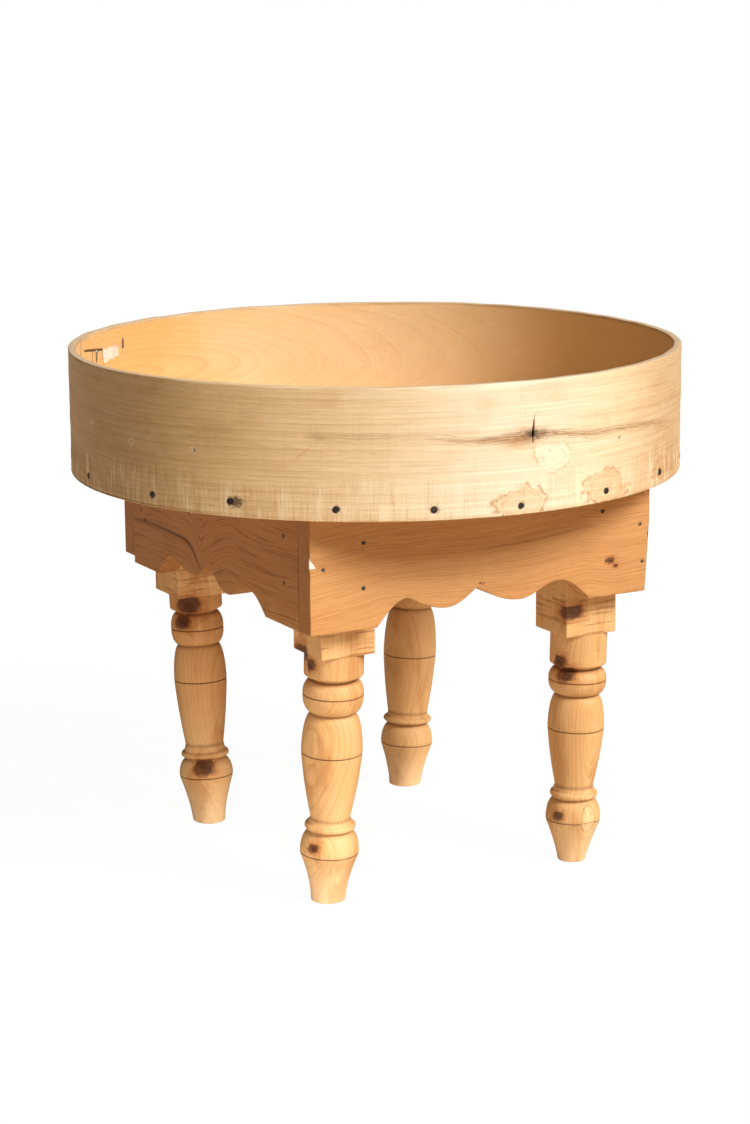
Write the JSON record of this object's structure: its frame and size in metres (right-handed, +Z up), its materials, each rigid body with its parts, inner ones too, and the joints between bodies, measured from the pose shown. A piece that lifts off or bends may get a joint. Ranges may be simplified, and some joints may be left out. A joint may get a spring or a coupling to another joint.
{
  "type": "cheese mold",
  "caption": "Round bent-wood cheese tray with a nailed plank floor, on a square frame of scalloped aprons with turned legs.",
  "frame": {"origin": "on the ground, under the middle of the tray", "axes": "+Z up; -Y is the front, the face of one of the two aprons that cover the other two aprons' ends"},
  "size_m": [0.6022, 0.5978, 0.514],
  "materials": {
    "hoop_wood": "bare bent softwood board, cream to honey, lightly sawn surface",
    "floor_wood": "bare planks, darker and stained by whey",
    "apron_wood": "planed orange-brown softwood with strong grain",
    "leg_wood": "turned honey-coloured pine with knots, dull polish",
    "iron": "dark oxidised nail heads",
    "bright_steel": "worn bright steel"
  },
  "bodies": {
    "root": {"apron_back": "apron_wood", "apron_back_nail_1": "iron", "apron_back_nail_2": "iron", "apron_back_nail_3": "iron", "apron_back_nail_4": "iron", "apron_back_nail_5": "iron", "apron_back_nail_6": "iron", "apron_front": "apron_wood", "apron_front_nail_1": "iron", "apron_front_nail_2": "iron", "apron_front_nail_3": "iron", "apron_front_nail_4": "iron", "apron_front_nail_5": "iron", "apron_front_nail_6": "iron", "apron_left": "apron_wood", "apron_left_nail_1": "iron", "apron_left_nail_2": "iron", "apron_left_nail_3": "iron", "apron_left_nail_4": "iron", "apron_right": "apron_wood", "apron_right_nail_1": "iron", "apron_right_nail_2": "iron", "apron_right_nail_3": "iron", "apron_right_nail_4": "iron", "clinch_nail_1": "bright_steel", "clinch_nail_2": "bright_steel", "floor_plank_back": "floor_wood", "floor_plank_back_nail_left": "iron", "floor_plank_back_nail_right": "iron", "floor_plank_front": "floor_wood", "floor_plank_front_nail_left": "iron", "floor_plank_front_nail_right": "iron", "floor_plank_middle": "floor_wood", "floor_plank_middle_nail_left": "iron", "floor_plank_middle_nail_right": "iron", "hoop_band": "hoop_wood", "hoop_nail_01": "iron", "hoop_nail_02": "iron", "hoop_nail_03": "iron", "hoop_nail_04": "iron", "hoop_nail_05": "iron", "hoop_nail_06": "iron", "hoop_nail_07": "iron", "hoop_nail_08": "iron", "hoop_nail_09": "iron", "hoop_nail_10": "iron", "hoop_nail_11": "iron", "hoop_nail_12": "iron", "hoop_nail_13": "iron", "hoop_nail_14": "iron", "hoop_nail_15": "iron", "hoop_nail_16": "iron", "hoop_nail_17": "iron", "hoop_nail_18": "iron", "hoop_nail_19": "iron", "leg_back_left": "leg_wood", "leg_back_right": "leg_wood", "leg_front_left": "leg_wood", "leg_front_right": "leg_wood"}
  },
  "joints": []
}
